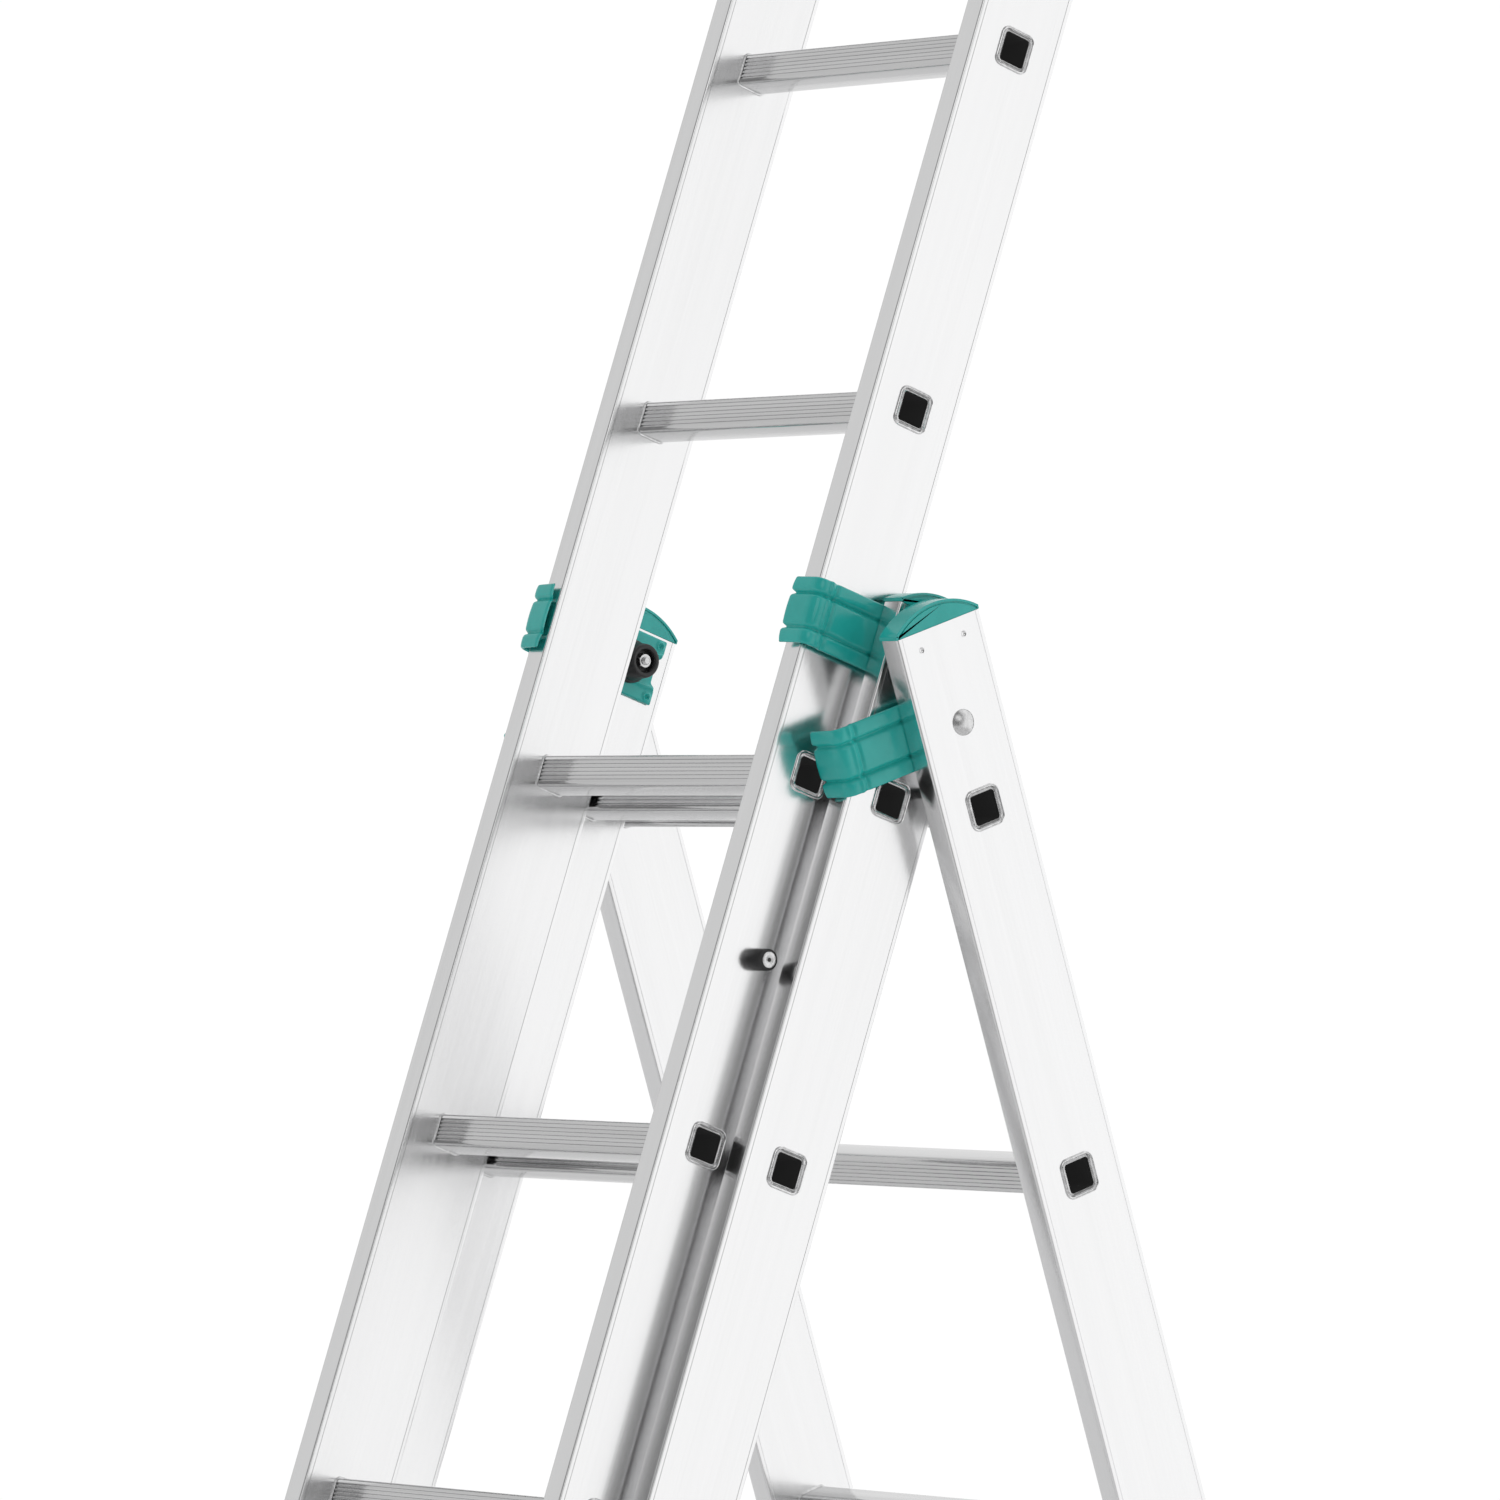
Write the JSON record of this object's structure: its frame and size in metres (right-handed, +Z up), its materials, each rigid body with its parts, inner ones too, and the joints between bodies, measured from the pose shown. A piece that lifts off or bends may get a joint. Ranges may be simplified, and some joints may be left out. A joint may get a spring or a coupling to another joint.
{
  "type": "combination ladder",
  "caption": "Aluminium combination ladder standing as a stepladder, its upper section raised above the hinged legs, with guide brackets, end caps and a stabiliser bar.",
  "frame": {"origin": "on the floor, at the bottom centre of the object's box", "axes": "+Z up, X across the ladder with +X on the climber's right, the climber on the middle section faces +Y; the middle section leans back from the front feet and the rear section from the stabiliser bar"},
  "size_m": [0.904, 1.3258, 2.972],
  "materials": {
    "stile_aluminium": "satin, extruded",
    "rung_aluminium": "satin, ribbed",
    "teal_plastic": "semi-gloss, moulded",
    "black_plastic": "matt, moulded",
    "black_rubber": "matt, ribbed",
    "zinc_steel": "bright zinc plated",
    "webbing": "woven"
  },
  "bodies": {
    "middle_section": {"middle_stile_left": "stile_aluminium", "middle_stile_right": "stile_aluminium", "middle_rung_1": "rung_aluminium", "middle_rung_2": "rung_aluminium", "middle_rung_3": "rung_aluminium", "middle_rung_4": "rung_aluminium", "middle_rung_5": "rung_aluminium", "middle_rung_6": "rung_aluminium", "middle_rung_7": "rung_aluminium", "middle_cap_left": "teal_plastic", "middle_cap_right": "teal_plastic", "middle_foot_left": "black_rubber", "middle_foot_right": "black_rubber", "middle_guide_left": "teal_plastic", "middle_guide_right": "teal_plastic", "slide_block_left": "black_plastic", "slide_block_right": "black_plastic", "middle_guide_bolts": "zinc_steel", "middle_guide_nuts": "zinc_steel", "strap_left": "webbing", "strap_right": "webbing", "strap_screws_middle": "zinc_steel"},
    "rear_section": {"rear_stile_left": "stile_aluminium", "rear_stile_right": "stile_aluminium", "rear_rung_1": "rung_aluminium", "rear_rung_2": "rung_aluminium", "rear_rung_3": "rung_aluminium", "rear_rung_4": "rung_aluminium", "rear_rung_5": "rung_aluminium", "rear_rung_6": "rung_aluminium", "rear_rung_7": "rung_aluminium", "rear_cap_left": "teal_plastic", "rear_cap_right": "teal_plastic", "rear_shoes": "black_plastic", "stabiliser_bar": "stile_aluminium", "stabiliser_foot_left": "black_rubber", "stabiliser_foot_right": "black_rubber", "rear_guide_left": "teal_plastic", "rear_guide_right": "teal_plastic", "rear_guide_bolts": "zinc_steel", "rear_guide_nuts": "zinc_steel", "hinge_pins": "black_plastic", "strap_screws_rear": "zinc_steel", "stabiliser_bolts": "zinc_steel"},
    "upper_section": {"upper_stile_left": "stile_aluminium", "upper_stile_right": "stile_aluminium", "upper_rung_1": "rung_aluminium", "upper_rung_2": "rung_aluminium", "upper_rung_3": "rung_aluminium", "upper_rung_4": "rung_aluminium", "upper_rung_5": "rung_aluminium", "upper_rung_6": "rung_aluminium", "upper_rung_7": "rung_aluminium", "upper_caps": "teal_plastic", "upper_plugs": "black_rubber", "stop_pins": "black_plastic", "stop_pin_rivets": "zinc_steel", "hook_pivots": "zinc_steel"},
    "hook_left": {"hook_left": "zinc_steel"},
    "hook_right": {"hook_right": "zinc_steel"}
  },
  "joints": [
    {"name": "leg_fold", "type": "hinge", "parent": "middle_section", "child": "rear_section", "pos_m": [0, 0, 1.74967], "axis": [-1, 0, 0], "range_deg": [0, 37.4]},
    {"name": "upper_slide", "type": "slide", "parent": "middle_section", "child": "upper_section", "axis": [0, 0.3209, 0.9471], "range_m": [-1.12, 0.108]},
    {"name": "hook_left_swing", "type": "hinge", "parent": "upper_section", "child": "hook_left", "pos_m": [-0.1716, -0.28254, 1.23293], "axis": [-1, 0, 0], "range_deg": [0, 270]},
    {"name": "hook_right_swing", "type": "hinge", "parent": "upper_section", "child": "hook_right", "pos_m": [0.1716, -0.28254, 1.23293], "axis": [-1, 0, 0], "range_deg": [0, 270]}
  ]
}
